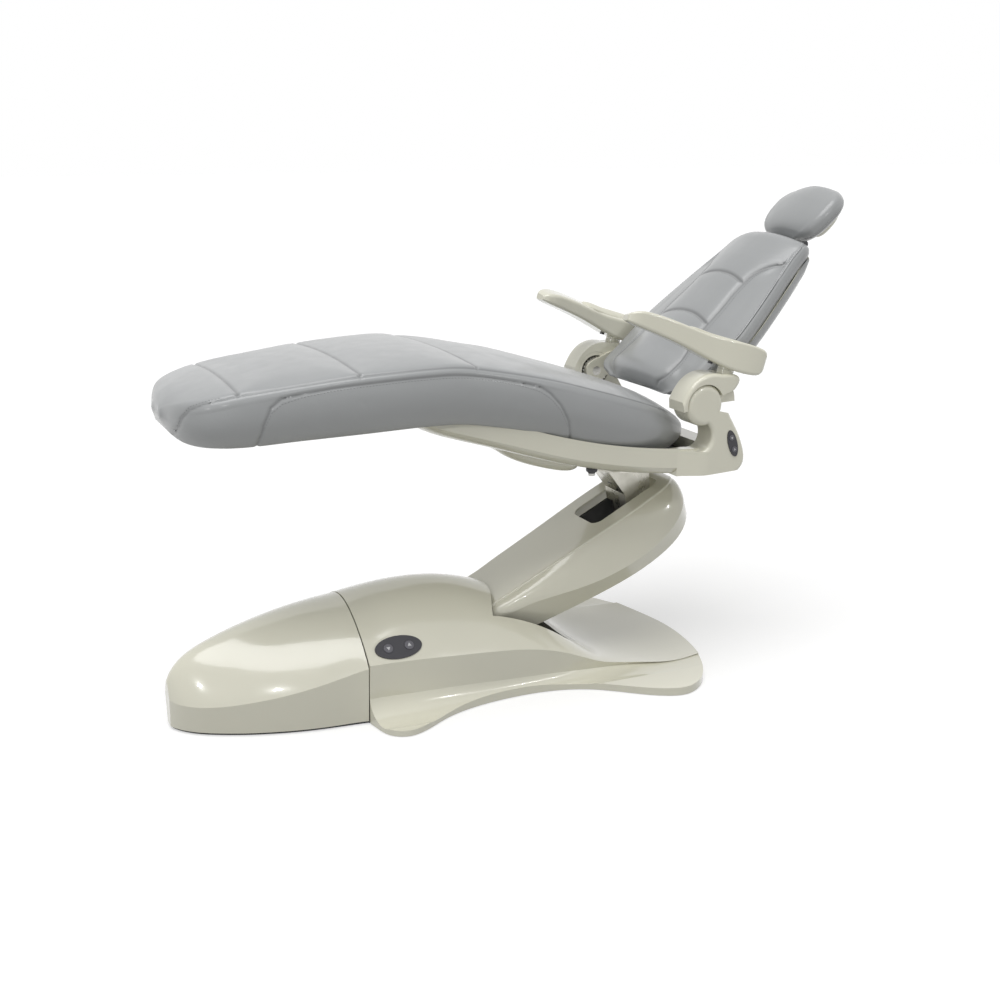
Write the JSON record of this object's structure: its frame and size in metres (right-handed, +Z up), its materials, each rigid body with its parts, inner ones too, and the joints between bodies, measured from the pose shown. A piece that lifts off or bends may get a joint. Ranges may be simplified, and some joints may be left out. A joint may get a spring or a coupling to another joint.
{
  "type": "electric dental chair",
  "caption": "Electric dental patient chair on a floor base with a parallel lift arm, swivelling seat, reclining back, swing armrests and a sliding, tilting headrest.",
  "frame": {"origin": "on the floor, at the centre of the floor anchor holes in the base plate", "axes": "+X from the toe end to the head end, +Y to the patient's right, +Z up"},
  "size_m": [1.7933, 0.726, 1.1788],
  "materials": {
    "shell": "gloss",
    "upholstery": "satin",
    "armrest": "satin",
    "frame": "satin",
    "steel": "brushed",
    "cast": "satin",
    "dark": "matte",
    "button": "satin"
  },
  "bodies": {
    "base": {"base_plate": "frame", "nose_cover": "shell", "main_cover": "shell", "pivot_bracket": "frame", "bracket_bolts": "steel", "link_pin": "steel", "lift_gearmotor": "cast", "actuator_tube": "steel", "actuator_cradle": "frame", "power_box": "frame", "base_pad": "dark"},
    "base_button_front": {"base_button_front": "button"},
    "base_button_rear": {"base_button_rear": "button"},
    "arm": {"lift_shaft": "steel", "lift_arm": "frame", "arm_cover": "shell", "arm_saddles": "frame", "carrier_pin": "steel"},
    "lift_ram": {"lift_ram": "steel"},
    "tie_rod": {"tie_rod": "frame"},
    "carrier": {"carrier": "cast", "tie_rod_pin": "steel", "thrust_ring": "steel"},
    "seat": {"seat_frame": "frame", "seat_pan": "shell", "seat_cushion": "upholstery", "under_cover": "shell", "seat_control_box": "dark", "brake_pin": "steel", "yoke_pad": "dark", "hub_pin_near": "steel", "hub_pin_far": "steel"},
    "brake": {"brake_lever": "steel", "brake_knob": "dark"},
    "yoke_button_low": {"yoke_button_low": "button"},
    "yoke_button_high": {"yoke_button_high": "button"},
    "back": {"back_link_near": "shell", "back_link_far": "shell", "recliner_gear_near": "steel", "recliner_gear_far": "steel", "back_frame": "frame", "back_cushion": "upholstery", "back_shell": "shell", "link_bolts": "steel", "headrest_guide": "frame"},
    "armrest_near": {"armrest_shell_near": "shell", "armrest_pad_near": "armrest"},
    "armrest_far": {"armrest_shell_far": "shell", "armrest_pad_far": "armrest"},
    "armrest_latch_near": {"armrest_latch_near": "dark"},
    "armrest_latch_far": {"armrest_latch_far": "dark"},
    "headrest_bar": {"headrest_bar": "steel", "headrest_pin": "steel"},
    "lock_knob": {"lock_knob": "dark"},
    "headrest": {"headrest_board": "frame", "headrest_shell": "shell", "headrest_cushion": "upholstery"}
  },
  "joints": [
    {"name": "lift", "type": "hinge", "parent": "base", "child": "arm", "pos_m": [-0.02, 0, 0.165], "axis": [0, -1, 0], "range_deg": [-31, 8]},
    {"name": "tie_rod_swing", "type": "hinge", "parent": "base", "child": "tie_rod", "pos_m": [-0.02, 0, 0.123], "axis": [0, -1, 0], "range_deg": [-31.5, 8.5]},
    {"name": "carrier_level", "type": "hinge", "parent": "arm", "child": "carrier", "pos_m": [0.37204, 0, 0.36476], "axis": [0, -1, 0], "range_deg": [-8.5, 31.5]},
    {"name": "ram_stroke", "type": "slide", "parent": "base", "child": "lift_ram", "axis": [1, 0, 0], "range_m": [-0.0405, 0.0107]},
    {"name": "seat_swivel", "type": "hinge", "parent": "carrier", "child": "seat", "pos_m": [0.34004, 0, 0.50476], "axis": [0, 0, 1], "range_deg": [-30, 30]},
    {"name": "brake_turn", "type": "hinge", "parent": "seat", "child": "brake", "pos_m": [0.22804, -0.06, 0.51776], "axis": [0, 0, 1], "range_deg": [-14, 14]},
    {"name": "back_recline", "type": "hinge", "parent": "seat", "child": "back", "pos_m": [0.39504, 0, 0.69476], "axis": [0, -1, 0], "range_deg": [-35, 28]},
    {"name": "armrest_near_swing", "type": "hinge", "parent": "back", "child": "armrest_near", "pos_m": [0.46804, -0.264, 0.77076], "axis": [0.284, 0, 0.9588], "range_deg": [0, 20]},
    {"name": "armrest_far_swing", "type": "hinge", "parent": "back", "child": "armrest_far", "pos_m": [0.46804, 0.264, 0.77076], "axis": [-0.284, 0, -0.9588], "range_deg": [0, 20]},
    {"name": "latch_near_press", "type": "slide", "parent": "armrest_near", "child": "armrest_latch_near", "axis": [0.284, 0, 0.9588], "range_m": [0, 0.003], "stiffness_N_per_m": 400},
    {"name": "latch_far_press", "type": "slide", "parent": "armrest_far", "child": "armrest_latch_far", "axis": [0.284, 0, 0.9588], "range_m": [0, 0.003], "stiffness_N_per_m": 400},
    {"name": "headrest_slide", "type": "slide", "parent": "back", "child": "headrest_bar", "axis": [0.749, 0, 0.6626], "range_m": [0, 0.11]},
    {"name": "headrest_tilt", "type": "hinge", "parent": "headrest_bar", "child": "headrest", "pos_m": [0.85076, 0, 1.03385], "axis": [0, -1, 0], "range_deg": [-25, 20]},
    {"name": "lock_knob_turn", "type": "hinge", "parent": "headrest_bar", "child": "lock_knob", "pos_m": [0.85076, 0, 1.03385], "axis": [0, -1, 0], "range_deg": [-90, 90]},
    {"name": "base_button_front_press", "type": "slide", "parent": "base", "child": "base_button_front", "axis": [0, 0.7334, -0.6798], "range_m": [0, 0.0015], "stiffness_N_per_m": 400},
    {"name": "base_button_rear_press", "type": "slide", "parent": "base", "child": "base_button_rear", "axis": [0, 0.7334, -0.6798], "range_m": [0, 0.0015], "stiffness_N_per_m": 400},
    {"name": "yoke_button_low_press", "type": "slide", "parent": "seat", "child": "yoke_button_low", "axis": [0, 1, 0], "range_m": [0, 0.0015], "stiffness_N_per_m": 400},
    {"name": "yoke_button_high_press", "type": "slide", "parent": "seat", "child": "yoke_button_high", "axis": [0, 1, 0], "range_m": [0, 0.0015], "stiffness_N_per_m": 400}
  ],
  "couplings": [
    {"joint": "tie_rod_swing", "follows": "lift", "ratio": 1},
    {"joint": "carrier_level", "follows": "lift", "ratio": -1},
    {"joint": "ram_stroke", "follows": "lift", "m_per_rad": 0.0733}
  ]
}
